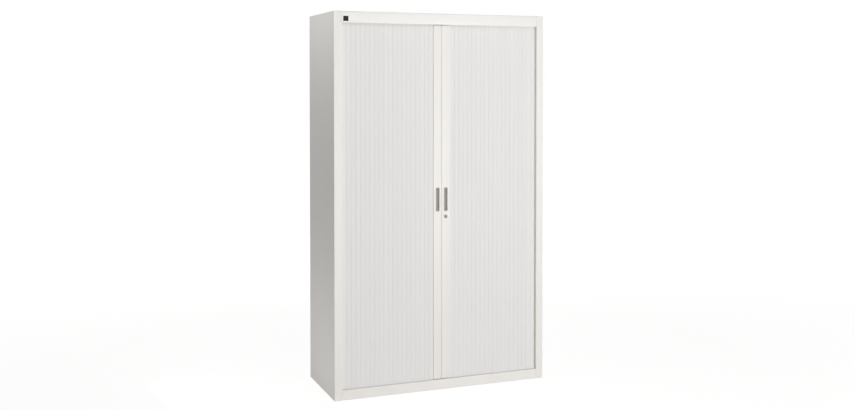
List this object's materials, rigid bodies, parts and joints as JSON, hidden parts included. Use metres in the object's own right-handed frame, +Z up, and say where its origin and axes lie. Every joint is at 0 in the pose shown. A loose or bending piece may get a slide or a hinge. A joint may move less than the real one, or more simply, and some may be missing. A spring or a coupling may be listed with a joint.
{
  "type": "tambour door cabinet",
  "caption": "Tall steel cupboard with two side-opening tambour doors of upright slats, recessed grips, a hook lock and adjustable shelves.",
  "frame": {"origin": "on the floor under the middle of the cabinet", "axes": "+Z up, the doors face -Y, +X to the right seen from the front"},
  "size_m": [1.18, 0.485, 1.98],
  "materials": {
    "white_steel": "satin white powder coat",
    "inner_steel": "satin white powder coat",
    "stile_white": "warm white coat, semi-gloss",
    "slat_plastic": "fine matt white",
    "track_plastic": "light grey moulding",
    "grip_grey": "silver grey",
    "nickel": "satin nickel plate",
    "zinc_steel": "bright zinc plate",
    "black_plastic": "black moulding"
  },
  "bodies": {
    "carcass": {"top_panel": "white_steel", "header_rail": "white_steel", "bottom_rail": "white_steel", "back_panel": "white_steel", "side_panel_left": "white_steel", "side_panel_right": "white_steel", "base_deck": "inner_steel", "ceiling_panel": "inner_steel", "false_back": "inner_steel", "side_liner_left": "inner_steel", "side_liner_right": "inner_steel", "shelf_1": "inner_steel", "shelf_2": "inner_steel", "shelf_3": "inner_steel", "shelf_4": "inner_steel", "base_channel_left": "zinc_steel", "base_channel_right": "zinc_steel", "shelf_upright_front_left": "zinc_steel", "shelf_upright_front_right": "zinc_steel", "shelf_upright_rear_left": "zinc_steel", "shelf_upright_rear_right": "zinc_steel", "shelf_bracket_1_left": "zinc_steel", "shelf_bracket_1_right": "zinc_steel", "shelf_bracket_2_left": "zinc_steel", "shelf_bracket_2_right": "zinc_steel", "shelf_bracket_3_left": "zinc_steel", "shelf_bracket_3_right": "zinc_steel", "shelf_bracket_4_left": "zinc_steel", "shelf_bracket_4_right": "zinc_steel", "foot_front_left": "black_plastic", "foot_front_right": "black_plastic", "foot_rear_left": "black_plastic", "foot_rear_right": "black_plastic", "upper_track_left": "track_plastic", "upper_track_right": "track_plastic", "lower_track_left": "track_plastic", "lower_track_right": "track_plastic"},
    "left_door": {"curtain_left": "slat_plastic", "stile_left": "stile_white", "grip_left": "grip_grey", "lower_shoe_left": "track_plastic", "upper_shoe_left": "track_plastic", "lock_keeper": "zinc_steel"},
    "right_door": {"curtain_right": "slat_plastic", "stile_right": "stile_white", "grip_right": "grip_grey", "lower_shoe_right": "track_plastic", "upper_shoe_right": "track_plastic", "lock_housing": "nickel", "lock_nut": "zinc_steel"},
    "lock": {"lock_core": "nickel", "lock_hook": "zinc_steel", "hook_screw": "zinc_steel"}
  },
  "joints": [
    {"name": "left_door_slide", "type": "slide", "parent": "carcass", "child": "left_door", "axis": [-1, 0, 0], "range_m": [0, 0.485], "deforming": ["curtain_left"]},
    {"name": "right_door_slide", "type": "slide", "parent": "carcass", "child": "right_door", "axis": [1, 0, 0], "range_m": [0, 0.485], "deforming": ["curtain_right"]},
    {"name": "lock_turn", "type": "hinge", "parent": "right_door", "child": "lock", "pos_m": [0.022, -0.23, 0.913], "axis": [0, 1, 0], "range_deg": [0, 90]}
  ]
}
